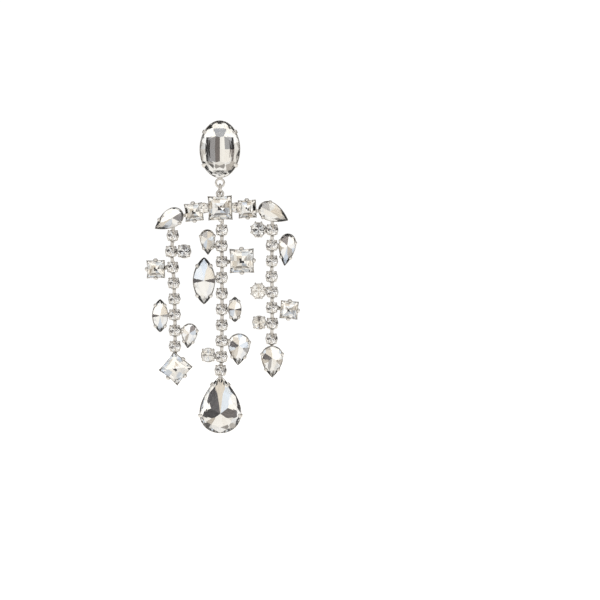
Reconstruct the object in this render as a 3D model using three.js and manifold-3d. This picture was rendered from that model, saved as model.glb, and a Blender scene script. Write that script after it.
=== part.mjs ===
// Crystal chandelier drop earring: an oval stud, a jump ring, and a main drop made of an arch of
// set stones with three strands of cup chain below it.
// Millimetres. +Z is up, -Y is the front that the stones face, +Y points into the ear lobe.
// The origin is the middle of the post pad's back face, where the earring pins on the lobe.
import * as THREE from "three";
import { mergeVertices } from "three/addons/utils/BufferGeometryUtils.js";
import Module from "manifold-3d";

const wasm = await Module();
wasm.setup();

// ---- driving dimensions ----
const fit = 0.06; // clearance between a stone and its setting
const wall = 0.24; // sheet thickness of a setting's rim
const floorThickness = 0.35; // back plate of a setting
const clawReach = 0.86; // a claw tip's distance from the middle, as a share of the girdle's
const clawThickness = 0.22;
const clawStand = 0.3; // how far a claw's shoulder stands out from the rim
const girdleHalf = 0.14; // half the thickness of a stone's edge
const solderOverlap = 0.1; // how far neighbouring settings run into each other

const wireRadius = 0.35; // jump ring and stud loop
const studLoopRadius = 1.3; // middle of the wire
const jumpRingRadius = 1.4;
const jumpRingTurn = 12; // degrees that the ring hangs turned from edge on
const archLoopRadius = 1.0;
const hangingGap = 0.12; // play between linked wires
const ovalAbovePost = -2.5; // height of the oval's middle: the post is above it so the stud sits upright
const padRadius = 2.6;
const padThickness = 0.8;
const postRadius = 0.42;
const postLength = 11;
const settingBehindPad = 0.1; // gap between the oval's back plate and the pad

const dropBack = -2.2; // back plane of every setting on the main drop, which balances it under its loop
const linkWidth = 1.2; // flat links between cups, and the strips behind soldered settings
const linkThickness = 0.5;
const linkSunk = 0.26; // how deep a link is let into a back plate
const linkUnder = 0.7; // how far a link runs in under a back plate

const metal = new THREE.MeshStandardMaterial({ color: 0xc9c7c2, roughness: 0.18, metalness: 1 });
const crystal = new THREE.MeshStandardMaterial({
  color: 0xeceae6,
  roughness: 0.02,
  metalness: 0,
  transparent: true,
  opacity: 0.45,
});

// ---- stone outlines: u to the right, v up, both from -1 to 1, for an angle clockwise from the top ----
const navetteFull = 1.55; // 2 gives straight sides at the points, 1 gives an oval
const pearPoint = 0.85; // 1 gives straight sides up to the point, 0 gives an oval
const pearWidest = Math.acos(pearPoint / (2 + pearPoint));
const pearSide = (t) => Math.sin(t) * Math.abs(Math.cos(t / 2)) ** pearPoint;

const outlines = {
  round: (t) => [Math.sin(t), Math.cos(t)],
  navette: (t) => [Math.sign(Math.sin(t)) * Math.abs(Math.sin(t)) ** navetteFull, Math.cos(t)],
  pear: (t) => [pearSide(t) / pearSide(pearWidest), Math.cos(t)],
  square: (t) => {
    const longest = Math.max(Math.abs(Math.sin(t)), Math.abs(Math.cos(t)));
    return [Math.sin(t) / longest, Math.cos(t) / longest];
  },
};

// Each cut: the outline and its sides, the table and keel as shares of the outline, crown and pavilion
// heights as shares of the width, which corners of the outline carry a claw, and the back of its setting
// as a share of the rim.
const cuts = {
  chaton: {
    outline: "round", sides: 8, table: 0.56, keel: [0.1, 0.1], crown: 0.22, pavilion: 0.46,
    claws: [1, 3, 5, 7], back: 0.88,
  },
  square: {
    outline: "square", sides: 8, table: 0.58, keel: [0.08, 0.08], crown: 0.16, pavilion: 0.32,
    claws: [0, 2, 4, 6], back: 0.76,
  },
  pear: {
    outline: "pear", sides: 12, table: 0.6, keel: [0.08, 0.3], crown: 0.16, pavilion: 0.3,
    claws: [2, 4, 8, 10], back: 0.76,
  },
  navette: {
    outline: "navette", sides: 12, table: 0.6, keel: [0.08, 0.4], crown: 0.17, pavilion: 0.34,
    claws: [2, 4, 8, 10], back: 0.76,
  },
  oval: {
    outline: "round", sides: 16, table: 0.62, keel: [0.1, 0.45], crown: 0.16, pavilion: 0.26,
    claws: [2, 6, 10, 14], back: 0.76,
  },
  bigPear: {
    outline: "pear", sides: 16, table: 0.62, keel: [0.08, 0.3], crown: 0.15, pavilion: 0.25,
    claws: [3, 6, 10, 13], back: 0.76,
  },
};

const stud = { name: "oval", cut: "oval", width: 12.6, length: 18 };

// The arch, from left to right: x and z are measured from the middle stone, turn is counter-clockwise
// seen from the front, and claws are left out where a neighbour holds the stone.
const centreSquare = { name: "arch_square_centre", cut: "square", width: 7.8, x: 0.1, z: 0, turn: 2, claws: [0, 4] };
const arch = [
  { name: "arch_pear_left", cut: "pear", width: 5.7, length: 10, x: -16.4, z: -3.85, turn: -58, claws: [2, 8] },
  { name: "arch_square_left", cut: "square", width: 5.8, x: -8.35, z: -1.3, turn: 6, claws: [0, 4] },
  { name: "arch_chaton_left", cut: "chaton", width: 3, x: -5.05, z: -0.1, raised: true },
  centreSquare,
  { name: "arch_chaton_right", cut: "chaton", width: 3, x: 5.45, z: 0.05, raised: true },
  { name: "arch_square_right", cut: "square", width: 5.8, x: 8.75, z: -0.3, turn: 3, claws: [0, 4] },
  { name: "arch_pear_right", cut: "pear", width: 5.7, length: 10, x: 17.15, z: -1.65, turn: 64, claws: [2, 10] },
];

// The strands of cup chain. Cups are listed from the top with their x, and their pitch is even but for
// a last step of its own. A side stone is soldered to a cup, on its left (-1) or right (1), with a gap
// where a bead prong stands between them, and sits lower than its cup by its drop.
const chain = { width: 3.4, pitch: 5.06, tilt: 10 }; // a cup's face tips up by its tilt, in degrees
const strands = [
  {
    name: "left",
    hangsFrom: "arch_pear_left",
    top: -8.7,
    x: [-15.1, -15.6, -15.1, -14.8, -14.6, -14.5, -14.45, -14.4],
    sides: [
      { name: "round", cut: "chaton", width: 3.9, cup: 2, side: 1, tilt: 6 },
      { name: "square", cut: "square", width: 5.8, cup: 3, side: -1, gap: 0.3, drop: 0.7, turn: 1, claws: [0, 4, 6] },
      { name: "navette", cut: "navette", width: 4.8, length: 10.2, cup: 6, side: -1, drop: 0.4 },
      { name: "pear", cut: "pear", width: 4.8, length: 7.6, cup: 7, side: 1, drop: 1.8, turn: -7 },
    ],
    end: { name: "square_drop", cut: "square", width: 7.8, x: 0.3, drop: 7.1, turn: 51, claws: [2, 4, 6] },
  },
  {
    name: "centre",
    hangsFrom: "arch_square_centre",
    top: -6.95,
    x: [0.6, 0.5, 0.6, 0.55, 0.6, 0.6, 0.6, 0.5, 0.5, 0.2],
    lastStep: 4.35,
    sides: [
      { name: "pear_small", cut: "pear", width: 4.5, length: 7.8, cup: 2, side: -1, drop: -1.1, turn: 2 },
      { name: "square", cut: "square", width: 7.8, cup: 3, side: 1, gap: 0.3, drop: -0.2, turn: 1, claws: [0, 2, 4] },
      { name: "navette_large", cut: "navette", width: 6.8, length: 14.6, cup: 4, side: -1, drop: 1.1 },
      { name: "navette_small", cut: "navette", width: 3.9, length: 7.8, cup: 6, side: 1, drop: 0.15 },
      { name: "pear", cut: "pear", width: 6.7, length: 9.8, cup: 8, side: 1, drop: 2.8, turn: -3 },
      { name: "round", cut: "chaton", width: 4.1, cup: 9, side: -1, drop: -0.5, tilt: 6 },
    ],
    end: { name: "pear_drop", cut: "bigPear", width: 13, length: 18, x: 0, drop: 10.9, turn: 180 },
  },
  {
    name: "right",
    hangsFrom: "arch_pear_right",
    top: -6.85,
    x: [16.7, 16.6, 16.6, 16.5, 16.7, 16.6, 16.7, 16.5],
    pitch: 4.98,
    sides: [
      { name: "round_top", cut: "chaton", width: 4.2, cup: 1, side: -1, gap: 0.1, tilt: 6 },
      { name: "pear", cut: "pear", width: 5.1, length: 10.1, cup: 2, side: 1, drop: 1.5, turn: -8 },
      { name: "round_middle", cut: "chaton", width: 4.3, cup: 5, side: -1, drop: -0.3, tilt: 6 },
      { name: "square", cut: "square", width: 5.8, cup: 6, side: 1, gap: 0.4, drop: 0.8, turn: -5, claws: [0, 2, 4] },
      { name: "round_low", cut: "chaton", width: 3.9, cup: 7, side: -1, drop: -0.2, tilt: 6 },
    ],
    end: { name: "pear_drop", cut: "pear", width: 6.7, length: 9.8, x: 0.2, drop: 7.4, turn: 0 },
  },
];

// ---- solids ----
const corners = (cut) => {
  const outline = outlines[cut.outline];
  return Array.from({ length: cut.sides }, (_, k) => outline((2 * Math.PI * k) / cut.sides));
};

// A closed solid through rings of points with the same number of corners, capped flat at both ends.
// Each four-sided face is split along its shorter diagonal, so a stone and its seat are split alike.
function loft(rings) {
  const count = rings[0].length;
  const last = rings.length - 1;
  const at = (ring, k) => rings[ring][k % count];
  const triangles = [];
  for (let ring = 0; ring < last; ring++) {
    for (let k = 0; k < count; k++) {
      const [a, b, c, d] = [at(ring, k), at(ring, k + 1), at(ring + 1, k + 1), at(ring + 1, k)];
      if (a.distanceTo(c) < b.distanceTo(d)) triangles.push([a, b, c], [a, c, d]);
      else triangles.push([a, b, d], [b, c, d]);
    }
  }
  for (let k = 1; k + 1 < count; k++) {
    triangles.push([at(0, 0), at(0, k + 1), at(0, k)]);
    triangles.push([at(last, 0), at(last, k), at(last, k + 1)]);
  }
  const flat = triangles.filter(([a, b, c]) => !a.equals(b) && !b.equals(c) && !a.equals(c)).flat();
  return new THREE.BufferGeometry().setFromPoints(flat);
}

// The sizes of one jewel: a stone and the setting that holds it.
function sizesOf(jewel) {
  const cut = cuts[jewel.cut];
  const half = [jewel.width / 2, (jewel.length ?? jewel.width) / 2];
  const crown = cut.crown * jewel.width;
  const pavilion = cut.pavilion * jewel.width;
  const depth = girdleHalf + pavilion + fit + floorThickness; // from the girdle to the setting's back
  return { cut, half, crown, pavilion, depth, outer: half[0] + fit + wall };
}

// A ring of points at depth y: the outline shared down in u and v, then grown outwards.
function ringOf({ cut, half }, [shareU, shareV], grow, y) {
  return corners(cut).map(
    ([u, v]) => new THREE.Vector3(u * (half[0] * shareU + grow), y, v * (half[1] * shareV + grow)),
  );
}

const whole = [1, 1];

function stoneGeometry(jewel) {
  const sizes = sizesOf(jewel);
  const { cut, crown, pavilion } = sizes;
  return loft([
    ringOf(sizes, [cut.table, cut.table], 0, -girdleHalf - crown),
    ringOf(sizes, whole, 0, -girdleHalf),
    ringOf(sizes, whole, 0, girdleHalf),
    ringOf(sizes, cut.keel, 0, girdleHalf + pavilion),
  ]);
}

// A dished setting whose rim wraps the stone's edge and rises into claws bent over the crown.
function settingGeometry(jewel) {
  const sizes = sizesOf(jewel);
  const { cut, crown, pavilion, depth } = sizes;
  const claws = new Set(jewel.claws ?? cut.claws);
  const shoulder = -girdleHalf - fit;
  const crownThere = (crown * (1 - clawReach)) / (1 - cut.table);
  const tip = shoulder - crownThere - fit;
  const rim = (grow, y) => ringOf(sizes, whole, grow, y);
  const rimWithClaws = (grow, clawRing) => rim(grow, shoulder).map((p, k) => (claws.has(k) ? clawRing[k] : p));
  const tips = (y) => ringOf(sizes, [clawReach, clawReach], 0, y);
  return loft([
    ringOf(sizes, cut.keel, fit, girdleHalf + pavilion + fit),
    rim(fit, girdleHalf),
    rim(fit, shoulder),
    rimWithClaws(fit, tips(tip)),
    rimWithClaws(fit + wall, tips(tip - clawThickness)),
    rimWithClaws(fit + wall, rim(fit + wall + clawStand, shoulder)),
    ringOf(sizes, [cut.back, cut.back], (fit + wall) * cut.back, depth),
  ]);
}

function bar(from, to, width, thickness) {
  const along = new THREE.Vector3().subVectors(to, from);
  const box = new THREE.BoxGeometry(width, thickness, along.length());
  const turn = Math.atan2(along.x, along.z);
  const middle = new THREE.Vector3().addVectors(from, to).multiplyScalar(0.5);
  return box.applyMatrix4(new THREE.Matrix4().makeRotationY(turn).setPosition(middle));
}

// A ring of round wire that faces the front.
function wireLoop(radius, wire, centre) {
  return new THREE.TorusGeometry(radius, wire, 6, 16).rotateX(Math.PI / 2).translate(...centre.toArray());
}

// ---- joining metal ----
function toManifold(geometry) {
  const bare = geometry.index ? geometry.toNonIndexed() : geometry.clone();
  bare.deleteAttribute("normal");
  bare.deleteAttribute("uv");
  const merged = mergeVertices(bare, 1e-4);
  const triVerts = new Uint32Array(merged.index.array);
  return new wasm.Manifold(
    new wasm.Mesh({ numProp: 3, vertProperties: merged.attributes.position.array, triVerts }),
  );
}

function joined(geometries) {
  const solid = geometries.map(toManifold).reduce((all, next) => all.add(next));
  const { numProp, numVert, vertProperties, triVerts } = solid.getMesh();
  const positions = new Float32Array(numVert * 3);
  for (let k = 0; k < numVert; k++) {
    positions.set(vertProperties.subarray(k * numProp, k * numProp + 3), k * 3);
  }
  return new THREE.BufferGeometry()
    .setAttribute("position", new THREE.BufferAttribute(positions, 3))
    .setIndex(new THREE.BufferAttribute(triVerts, 1));
}

// ---- placing jewels ----
function node(name, geometry, material) {
  const mesh = new THREE.Mesh(geometry, material);
  mesh.name = name;
  return mesh;
}

// Where a jewel sits: its girdle's middle, turned in the plane that faces the front, then tipped up.
function placeOf(jewel) {
  const tip = new THREE.Matrix4().makeRotationX(-THREE.MathUtils.degToRad(jewel.tilt ?? 0));
  const turn = new THREE.Matrix4().makeRotationY(-THREE.MathUtils.degToRad(jewel.turn ?? 0));
  return tip.multiply(turn).setPosition(jewel.at);
}

function stoneOf(jewel, name) {
  const stone = node(`${name}_stone`, stoneGeometry(jewel), crystal);
  placeOf(jewel).decompose(stone.position, stone.quaternion, stone.scale);
  return stone;
}

const settingInPlace = (jewel) => settingGeometry(jewel).applyMatrix4(placeOf(jewel));

// The girdle's depth of a jewel whose setting's back lies in the drop's back plane.
const girdleY = (jewel) => dropBack - sizesOf(jewel).depth;

// A strip let into the back plates of two settings, from just inside one to just inside the other.
function strip(from, to) {
  const y = dropBack - linkSunk + linkThickness / 2;
  const along = new THREE.Vector3().subVectors(to.at, from.at).setY(0).normalize();
  const end = (jewel, sign) => {
    const { half, cut } = sizesOf(jewel);
    const reach = Math.abs(along.x) > Math.abs(along.z) ? half[0] : half[1];
    return jewel.at.clone().setY(y).addScaledVector(along, sign * (reach * cut.back - linkUnder));
  };
  return bar(end(from, 1), end(to, -1), linkWidth, linkThickness);
}

// ---- stud ----
function studGroup() {
  const sizes = sizesOf(stud);
  stud.at = new THREE.Vector3(0, -padThickness - settingBehindPad - sizes.depth, ovalAbovePost);
  const loopCentre = new THREE.Vector3(0, hangY, studLoopZ);
  const neckTop = stud.at.z - stud.length / 2 + 0.7;
  const neck = bar(
    new THREE.Vector3(0, hangY, neckTop),
    new THREE.Vector3(0, hangY, studLoopZ + studLoopRadius - wireRadius / 2),
    linkWidth,
    linkThickness,
  );
  const loop = wireLoop(studLoopRadius, wireRadius, loopCentre);
  const pad = new THREE.LatheGeometry(
    [
      [0, -padThickness],
      [padRadius, -padThickness],
      [padRadius, 0],
      [postRadius, 0],
      [postRadius, postLength - postRadius],
      [postRadius / 2, postLength],
      [0, postLength],
    ].map(([r, y]) => new THREE.Vector2(r, y)),
    16,
  );
  return new THREE.Group().add(
    node("ear_post", pad, metal),
    node("oval_setting", joined([settingInPlace(stud), loop, neck]), metal),
    stoneOf(stud, stud.name),
  );
}

// The stack of linked rings, from the oval down to the arch's middle stone.
const loopBehindGirdle = 1.0; // the stud loop is soldered to the side of the oval's setting
const loopIntoRim = 0.25;
const archLoopAboveRim = 0.4;
const ovalGirdleY = -padThickness - settingBehindPad - sizesOf(stud).depth;
const hangY = ovalGirdleY + loopBehindGirdle;
const ovalBottom = ovalAbovePost - stud.length / 2 - fit - wall;
const studLoopZ = ovalBottom + loopIntoRim - studLoopRadius - wireRadius;
const linkAxisZ = studLoopZ - studLoopRadius; // the jump ring swings fore and aft on the stud loop's wire
const jumpRingZ = linkAxisZ + 2 * wireRadius + hangingGap - jumpRingRadius;
const dropAxisZ = jumpRingZ - jumpRingRadius; // the drop swings from side to side on the jump ring's wire
const archLoopZ = dropAxisZ + 2 * wireRadius + hangingGap - archLoopRadius;
const archZ = archLoopZ - archLoopAboveRim - sizesOf(centreSquare).outer;

// ---- jump ring ----
function jumpRing() {
  const ring = node("jump_ring", new THREE.TorusGeometry(jumpRingRadius, wireRadius, 6, 16), metal);
  ring.position.set(0, hangY, jumpRingZ);
  ring.rotation.set(0, Math.PI / 2, THREE.MathUtils.degToRad(jumpRingTurn), "ZYX");
  return ring;
}

// ---- arch ----
const hangerGap = 0.45; // from the back plane to a hanger's plate, clear of the tilted top cup
const hangerInset = 0.75; // how far below its setting's middle a hanger starts
const hangerFoot = 0.9; // height of the soldered end of a hanger
const hangerAboveCup = 0.7; // a hanger ends this far above the middle of the cup that it carries
const shelfThickness = 0.3; // the shelf under a raised cup, let into its back plate
const raisedAbove = 0.3; // a raised cup's back plate stands this far in front of the middle stone's girdle
const postWidth = 0.5; // solder post under a raised cup

// A flat tab soldered behind an arch setting, which reaches down behind a strand's top cup and carries it.
function hanger(strand) {
  const jewel = arch.find((one) => one.name === strand.hangsFrom);
  const top = jewel.at.z - hangerInset;
  const bottom = archZ + strand.top + hangerAboveCup;
  const middleY = dropBack + hangerGap + linkThickness / 2;
  const front = dropBack - linkSunk;
  const plate = new THREE.BoxGeometry(linkWidth, linkThickness, top - bottom);
  plate.translate(strand.x[0], middleY, (top + bottom) / 2);
  const foot = new THREE.BoxGeometry(linkWidth, middleY - front, hangerFoot);
  foot.translate(strand.x[0], (middleY + front) / 2, top - hangerFoot / 2);
  return [plate, foot];
}

function archGroup() {
  const group = new THREE.Group();
  const girdleOfCentre = girdleY(centreSquare);
  for (const jewel of arch) {
    const y = jewel.raised ? girdleOfCentre - raisedAbove - sizesOf(jewel).depth : girdleY(jewel);
    jewel.at = new THREE.Vector3(jewel.x, y, archZ + jewel.z);
    group.add(stoneOf(jewel, jewel.name));
  }
  const metalParts = arch.map(settingInPlace);
  const flat = arch.filter((jewel) => !jewel.raised);
  for (let k = 0; k + 1 < flat.length; k++) metalParts.push(strip(flat[k], flat[k + 1]));
  for (const jewel of arch.filter((one) => one.raised)) {
    const side = Math.sign(jewel.x);
    const postX = centreSquare.x + side * (sizesOf(centreSquare).outer + postWidth / 2 - solderOverlap);
    const front = jewel.at.y + sizesOf(jewel).depth - shelfThickness / 2;
    const post = new THREE.BoxGeometry(postWidth, dropBack - front, linkWidth);
    post.translate(postX, (front + dropBack) / 2, jewel.at.z);
    const shelf = new THREE.BoxGeometry(Math.abs(jewel.x - postX) + postWidth, shelfThickness, linkWidth);
    shelf.translate((jewel.x + postX) / 2, front, jewel.at.z);
    metalParts.push(post, shelf);
  }
  for (const strand of strands) metalParts.push(...hanger(strand));
  metalParts.push(wireLoop(archLoopRadius, wireRadius, new THREE.Vector3(0, hangY, archLoopZ)));
  return group.add(node("arch_frame", joined(metalParts), metal));
}

// ---- strands ----
function strandGroup(strand) {
  const group = new THREE.Group();
  const pitch = strand.pitch ?? chain.pitch;
  const prefix = `${strand.name}_strand`;
  const lastCup = strand.x.length - 1;
  const cups = strand.x.map((x, k) => {
    const steps = k === lastCup && strand.lastStep ? (k - 1) * pitch + strand.lastStep : k * pitch;
    const cup = { cut: "chaton", width: chain.width, tilt: chain.tilt };
    cup.at = new THREE.Vector3(x, girdleY(cup), archZ + strand.top - steps);
    group.add(stoneOf(cup, `${prefix}_chaton_${k + 1}`));
    return cup;
  });
  const metalParts = cups.map(settingInPlace);
  for (let k = 0; k < lastCup; k++) metalParts.push(strip(cups[k], cups[k + 1]));

  const cupOuter = sizesOf(cups[0]).outer;
  for (const row of strand.sides) {
    const cup = cups[row.cup - 1];
    const reach = cupOuter + sizesOf(row).outer - solderOverlap + (row.gap ?? 0);
    row.at = new THREE.Vector3(cup.at.x + row.side * reach, girdleY(row), cup.at.z - (row.drop ?? 0));
    group.add(stoneOf(row, `${prefix}_${row.name}`));
    metalParts.push(settingInPlace(row), strip(cup, row));
  }
  const last = cups[lastCup];
  const end = strand.end;
  end.at = new THREE.Vector3(last.at.x + end.x, girdleY(end), last.at.z - end.drop);
  group.add(stoneOf(end, `${prefix}_${end.name}`));
  metalParts.push(settingInPlace(end), strip(last, end));
  return group.add(node(`${prefix}_frame`, joined(metalParts), metal));
}

const earring = new THREE.Group();
earring.add(studGroup(), jumpRing(), archGroup(), ...strands.map(strandGroup));

export default earring;
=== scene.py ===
import math
from random import Random

import bmesh
import bpy
from mathutils import Matrix, Vector


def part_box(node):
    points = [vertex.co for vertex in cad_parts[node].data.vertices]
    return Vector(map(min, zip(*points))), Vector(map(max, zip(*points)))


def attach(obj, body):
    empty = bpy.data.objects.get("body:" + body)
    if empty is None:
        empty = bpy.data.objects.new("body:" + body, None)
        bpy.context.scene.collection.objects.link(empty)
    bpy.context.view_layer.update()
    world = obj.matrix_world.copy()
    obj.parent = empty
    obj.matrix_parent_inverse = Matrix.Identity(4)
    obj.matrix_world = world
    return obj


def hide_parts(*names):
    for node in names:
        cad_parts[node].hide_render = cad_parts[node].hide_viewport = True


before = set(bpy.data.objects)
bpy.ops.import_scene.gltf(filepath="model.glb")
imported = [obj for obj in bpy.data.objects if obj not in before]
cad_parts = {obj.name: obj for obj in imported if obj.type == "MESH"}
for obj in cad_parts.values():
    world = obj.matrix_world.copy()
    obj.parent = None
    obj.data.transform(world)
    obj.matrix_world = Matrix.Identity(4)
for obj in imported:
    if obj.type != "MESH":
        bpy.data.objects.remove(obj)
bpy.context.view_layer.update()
print("frame loaded:", len(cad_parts), "nodes")

mm = 0.001  # lengths below are millimetres until a mesh is finished
scene = bpy.context.scene
up = Vector((0, 0, 1))


def toLinear(hexColour):
    # one sRGB hex colour as linear RGBA
    channels = [int(hexColour[k:k + 2], 16) / 255 for k in (1, 3, 5)]
    linear = [c / 12.92 if c <= 0.04045 else ((c + 0.055) / 1.055) ** 2.4 for c in channels]
    return (*linear, 1.0)


def addNode(tree, kind, settings=None, values=None, links=None):
    # settings are the node's own fields, values fill its inputs, links join its inputs to outputs
    node = tree.nodes.new(kind)
    for name, value in (settings or {}).items():
        setattr(node, name, value)
    for name, value in (values or {}).items():
        node.inputs[name].default_value = value
    for name, source in (links or {}).items():
        tree.links.new(source, node.inputs[name])
    return node


def setStops(ramp, stops):
    # stops: (position, colour), in order; a colour is sRGB hex or linear RGBA
    while len(ramp.elements) < len(stops):
        ramp.elements.new(0.5)
    for element, (position, colour) in zip(ramp.elements, stops):
        element.position = position
        element.color = toLinear(colour) if isinstance(colour, str) else colour


def newMaterial(name):
    material = bpy.data.materials.new(name)
    material.use_nodes = True
    material.node_tree.nodes.clear()
    return material, material.node_tree


def newObject(name, mesh):
    piece = bpy.data.objects.new(name, mesh)
    scene.collection.objects.link(piece)
    return piece


cameraPlan = {  # it looks along +Y at a frame this wide, in the plane of the stones' edges
    "lens": 135, "sensor": 36, "frameWidth": 192.0, "centreX": 25.58, "centreZ": -50.63, "planeY": -3.0,
}


def placeCamera(plan):
    data = bpy.data.cameras.new("camera")
    data.lens = plan["lens"]
    data.sensor_width = plan["sensor"]
    data.clip_start = 0.01
    distance = plan["frameWidth"] * plan["lens"] / plan["sensor"]
    camera = newObject("camera", data)
    camera.location = Vector((plan["centreX"], plan["planeY"] - distance, plan["centreZ"])) * mm
    camera.rotation_euler = (math.pi / 2, 0, 0)
    scene.camera = camera
    scene.view_settings.view_transform = "Standard"


placeCamera(cameraPlan)


studio = {
    "floorHeight": -260.0,
    "floorRadius": 9000.0,
    "paperGlow": 0.62,
    "backdropWhite": 1.05,
    "cardSize": 2.5,
    "cardBlend": 0.12,
    "cards": [  # how bright the cards round the jewel are, from the darkest cells to the lightest
        (0.00, (0.02, 0.018, 0.018, 1)), (0.07, (0.05, 0.045, 0.042, 1)), (0.13, (0.34, 0.32, 0.30, 1)),
        (0.28, (0.60, 0.565, 0.53, 1)), (0.42, (0.76, 0.74, 0.70, 1)), (0.60, (0.82, 0.83, 0.85, 1)),
        (0.80, (0.93, 0.92, 0.90, 1)), (1.00, (1.02, 1.02, 1.02, 1)),
    ],
    # even panels that fade in over the cards as a direction turns up, to the front or to the back
    "ceiling": {"from": 0.72, "to": 0.78, "light": (1.0, 1.0, 1.0, 1)},
    "front": {"from": 0.80, "to": 0.86, "light": (0.97, 0.955, 0.93, 1)},
    "behind": {"from": 0.2, "to": 0.6, "light": (0.3, 0.285, 0.27, 1)},
}


def lightStudio(plan):
    world = bpy.data.worlds.new("soft studio")
    world.use_nodes = True
    scene.world = world
    tree = world.node_tree
    tree.nodes.clear()
    direction = addNode(tree, "ShaderNodeTexCoord").outputs["Generated"]
    axes = addNode(tree, "ShaderNodeSeparateXYZ", links={0: direction}).outputs
    cells = addNode(
        tree, "ShaderNodeTexVoronoi", {"feature": "SMOOTH_F1"},
        {"Scale": plan["cardSize"], "Smoothness": plan["cardBlend"]}, {"Vector": direction},
    )
    pick = addNode(tree, "ShaderNodeSeparateColor", links={0: cells.outputs["Color"]}).outputs[0]
    walls = addNode(tree, "ShaderNodeValToRGB", links={0: pick})
    setStops(walls.color_ramp, plan["cards"])
    flip = addNode(tree, "ShaderNodeMath", {"operation": "MULTIPLY"}, {1: -1}, {0: axes["Y"]})
    room = walls.outputs[0]
    for name, toward in (("ceiling", axes["Z"]), ("front", flip.outputs[0]), ("behind", axes["Y"])):
        panel = plan[name]
        share = addNode(
            tree, "ShaderNodeMapRange", values={"From Min": panel["from"], "From Max": panel["to"]},
            links={"Value": toward},
        )
        room = addNode(
            tree, "ShaderNodeMix", {"data_type": "RGBA"}, {"B": panel["light"]},
            {"Factor": share.outputs[0], "A": room},
        ).outputs["Result"]
    backdrop = {"Color": (1, 1, 1, 1), "Strength": plan["backdropWhite"]}
    seen = addNode(tree, "ShaderNodeBackground", values=backdrop)
    lit = addNode(tree, "ShaderNodeBackground", values={"Strength": 1.0}, links={"Color": room})
    cameraRay = addNode(tree, "ShaderNodeLightPath").outputs["Is Camera Ray"]
    mixed = addNode(tree, "ShaderNodeMixShader", links={0: cameraRay, 1: lit.outputs[0], 2: seen.outputs[0]})
    addNode(tree, "ShaderNodeOutputWorld", links={"Surface": mixed.outputs[0]})


lightStudio(studio)


def makeFloor(plan):
    material, tree = newMaterial("white studio paper")
    fibres = addNode(tree, "ShaderNodeTexNoise", values={"Scale": 90.0, "Detail": 4.0})
    tint = addNode(tree, "ShaderNodeValToRGB", links={0: fibres.outputs["Fac"]})
    setStops(tint.color_ramp, [(0.3, "#f4f3f1"), (0.7, "#fbfbfa")])
    paper = addNode(
        tree, "ShaderNodeBsdfPrincipled", values={"Roughness": 0.9, "Emission Strength": plan["paperGlow"]},
        links={"Base Color": tint.outputs[0], "Emission Color": tint.outputs[0]},
    )
    addNode(tree, "ShaderNodeOutputMaterial", links={"Surface": paper.outputs[0]})
    mesh = bpy.data.meshes.new("floor")
    shape = bmesh.new()
    bmesh.ops.create_circle(shape, cap_ends=True, radius=plan["floorRadius"] * mm, segments=64)
    bmesh.ops.translate(shape, vec=(0, 0, plan["floorHeight"] * mm), verts=shape.verts)
    shape.to_mesh(mesh)
    shape.free()
    mesh.materials.append(material)
    newObject("floor", mesh)


makeFloor(studio)
print("studio ready")


# Rhodium plate on brass, barrel polished: a bright, slightly grey mirror that shows faint handling marks.
plateFinish = {  # sizes in millimetres
    "tones": [(0.3, "#c2bdb6"), (0.7, "#dcd8d2")], "cloudSize": 2.5,
    "smooth": 0.07, "rough": 0.2, "markSize": 0.35, "markDepth": 0.02, "markStrength": 0.25,
}


def rhodiumPlate(finish):
    material, tree = newMaterial("polished rhodium plate")
    place = addNode(tree, "ShaderNodeTexCoord").outputs["Object"]
    cloud = addNode(
        tree, "ShaderNodeTexNoise", values={"Scale": 1 / (finish["cloudSize"] * mm), "Detail": 3.0},
        links={"Vector": place},
    )
    tone = addNode(tree, "ShaderNodeValToRGB", links={0: cloud.outputs["Fac"]})
    setStops(tone.color_ramp, finish["tones"])
    marks = addNode(
        tree, "ShaderNodeTexNoise", values={"Scale": 1 / (finish["markSize"] * mm), "Detail": 2.0},
        links={"Vector": place},
    ).outputs["Fac"]
    gloss = addNode(
        tree, "ShaderNodeMapRange", values={"To Min": finish["smooth"], "To Max": finish["rough"]},
        links={"Value": marks},
    )
    ripple = addNode(
        tree, "ShaderNodeBump",
        values={"Strength": finish["markStrength"], "Distance": finish["markDepth"] * mm},
        links={"Height": marks},
    )
    metal = addNode(
        tree, "ShaderNodeBsdfPrincipled", values={"Metallic": 1.0},
        links={"Base Color": tone.outputs[0], "Roughness": gloss.outputs[0], "Normal": ripple.outputs[0]},
    )
    addNode(tree, "ShaderNodeOutputMaterial", links={"Surface": metal.outputs[0]})
    return material


# Silver solder under the plate: it flows into a soft, duller bead where two settings meet.
solderFinish = {
    "tones": [(0.3, "#aeaaa4"), (0.7, "#d3d0cb")], "flowSize": 0.6,
    "smooth": 0.2, "rough": 0.38, "lumpDepth": 0.04, "lumpStrength": 0.5,
}


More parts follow.
